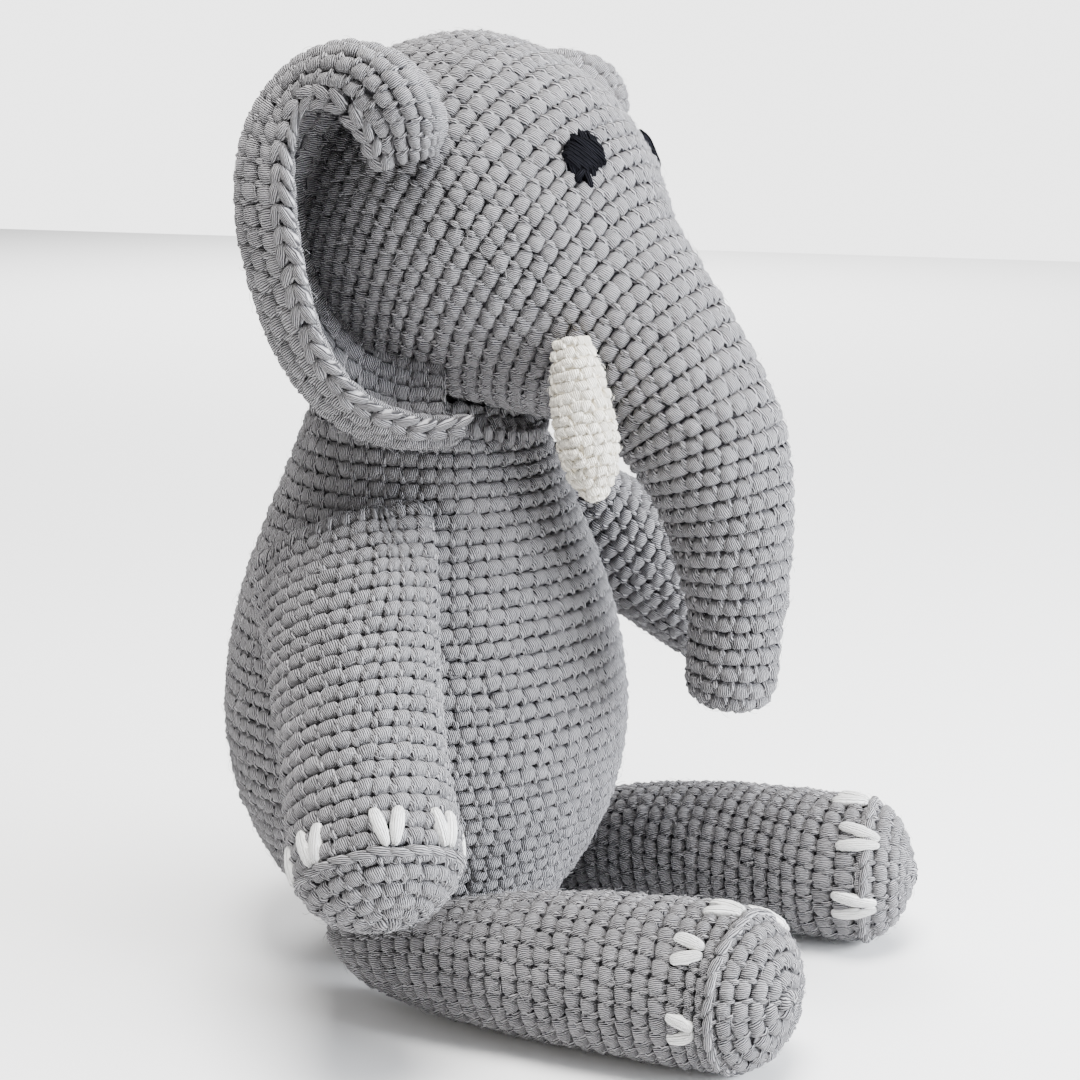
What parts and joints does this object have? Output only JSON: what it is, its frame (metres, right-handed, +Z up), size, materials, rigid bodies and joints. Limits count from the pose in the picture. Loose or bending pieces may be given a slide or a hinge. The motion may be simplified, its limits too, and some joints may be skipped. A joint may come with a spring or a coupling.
{
  "type": "stuffed elephant",
  "caption": "Seated crocheted elephant plush with a long trunk, cupped ears, tusks, dangling arms and legs stretched forward.",
  "frame": {"origin": "centre of the flat seat under the body, where the toy rests", "axes": "+Z up, the face and legs point along -Y, the elephant's left side is +X"},
  "size_m": [0.2112, 0.1701, 0.2336],
  "materials": {
    "grey_yarn": "matte crocheted cotton yarn",
    "filling": "loose polyester fibre filling",
    "tusk_yarn": "matte fine crocheted cream cotton yarn",
    "toenail_yarn": "matte white cotton yarn, satin stitched",
    "eye_yarn": "matte black cotton yarn, satin stitched"
  },
  "bodies": {
    "body": {"body_cover": "grey_yarn", "body_stuffing": "filling", "neck_seam": "grey_yarn", "right_arm_seam": "grey_yarn", "left_arm_seam": "grey_yarn", "right_leg_seam": "grey_yarn", "left_leg_seam": "grey_yarn"},
    "neck": {"neck_stuffing": "filling"},
    "head": {"head_cover": "grey_yarn", "head_stuffing": "filling", "right_eye": "eye_yarn", "left_eye": "eye_yarn", "right_tusk_cover": "tusk_yarn", "right_tusk_stuffing": "filling", "left_tusk_cover": "tusk_yarn", "left_tusk_stuffing": "filling"},
    "trunk": {"trunk_cover": "grey_yarn", "trunk_stuffing": "filling"},
    "right_ear": {"right_ear": "grey_yarn"},
    "left_ear": {"left_ear": "grey_yarn"},
    "right_arm": {"right_arm_cover": "grey_yarn", "right_arm_stuffing": "filling", "right_arm_nail_1": "toenail_yarn", "right_arm_nail_2": "toenail_yarn", "right_arm_nail_3": "toenail_yarn", "right_arm_nail_4": "toenail_yarn", "right_arm_nail_5": "toenail_yarn"},
    "right_leg": {"right_leg_cover": "grey_yarn", "right_leg_stuffing": "filling", "right_leg_nail_1": "toenail_yarn", "right_leg_nail_2": "toenail_yarn", "right_leg_nail_3": "toenail_yarn", "right_leg_nail_4": "toenail_yarn", "right_leg_nail_5": "toenail_yarn"},
    "left_arm": {"left_arm_cover": "grey_yarn", "left_arm_stuffing": "filling", "left_arm_nail_1": "toenail_yarn", "left_arm_nail_2": "toenail_yarn", "left_arm_nail_3": "toenail_yarn", "left_arm_nail_4": "toenail_yarn", "left_arm_nail_5": "toenail_yarn"},
    "left_leg": {"left_leg_cover": "grey_yarn", "left_leg_stuffing": "filling", "left_leg_nail_1": "toenail_yarn", "left_leg_nail_2": "toenail_yarn", "left_leg_nail_3": "toenail_yarn", "left_leg_nail_4": "toenail_yarn", "left_leg_nail_5": "toenail_yarn"}
  },
  "joints": [
    {"name": "neck_turn", "type": "hinge", "parent": "body", "child": "neck", "pos_m": [0, -0.0133, 0.1879], "axis": [0, 0, 1], "range_deg": [-18, 18], "stiffness_Nm_per_rad": 0.6},
    {"name": "neck_nod", "type": "hinge", "parent": "neck", "child": "head", "pos_m": [0, -0.0133, 0.1879], "axis": [1, 0, 0], "range_deg": [-14, 2], "stiffness_Nm_per_rad": 1.5},
    {"name": "trunk_bend", "type": "hinge", "parent": "head", "child": "trunk", "pos_m": [0, -0.066, 0.1532], "axis": [1, 0, 0], "range_deg": [-16, 3], "stiffness_Nm_per_rad": 0.25},
    {"name": "right_ear_flap", "type": "hinge", "parent": "head", "child": "right_ear", "pos_m": [-0.038, -0.006, 0.186], "axis": [0, 0, 1], "range_deg": [-5, 5], "stiffness_Nm_per_rad": 0.08},
    {"name": "left_ear_flap", "type": "hinge", "parent": "head", "child": "left_ear", "pos_m": [0.038, -0.006, 0.186], "axis": [0, 0, -1], "range_deg": [-5, 5], "stiffness_Nm_per_rad": 0.08},
    {"name": "right_shoulder", "type": "hinge", "parent": "body", "child": "right_arm", "pos_m": [-0.046, 0.001, 0.1175], "axis": [-0.1725, 0.9195, -0.3532], "range_deg": [0, 60], "stiffness_Nm_per_rad": 0.2},
    {"name": "left_shoulder", "type": "hinge", "parent": "body", "child": "left_arm", "pos_m": [0.0435, -0.004, 0.118], "axis": [-0.3111, -0.7929, 0.524], "range_deg": [-5, 45], "stiffness_Nm_per_rad": 0.2},
    {"name": "right_hip", "type": "hinge", "parent": "body", "child": "right_leg", "pos_m": [-0.039, -0.0025, 0.0106], "axis": [0, 0, -1], "range_deg": [0, 20]},
    {"name": "left_hip", "type": "hinge", "parent": "body", "child": "left_leg", "pos_m": [0.039, -0.0025, 0.0106], "axis": [0, 0, 1], "range_deg": [0, 20]}
  ]
}
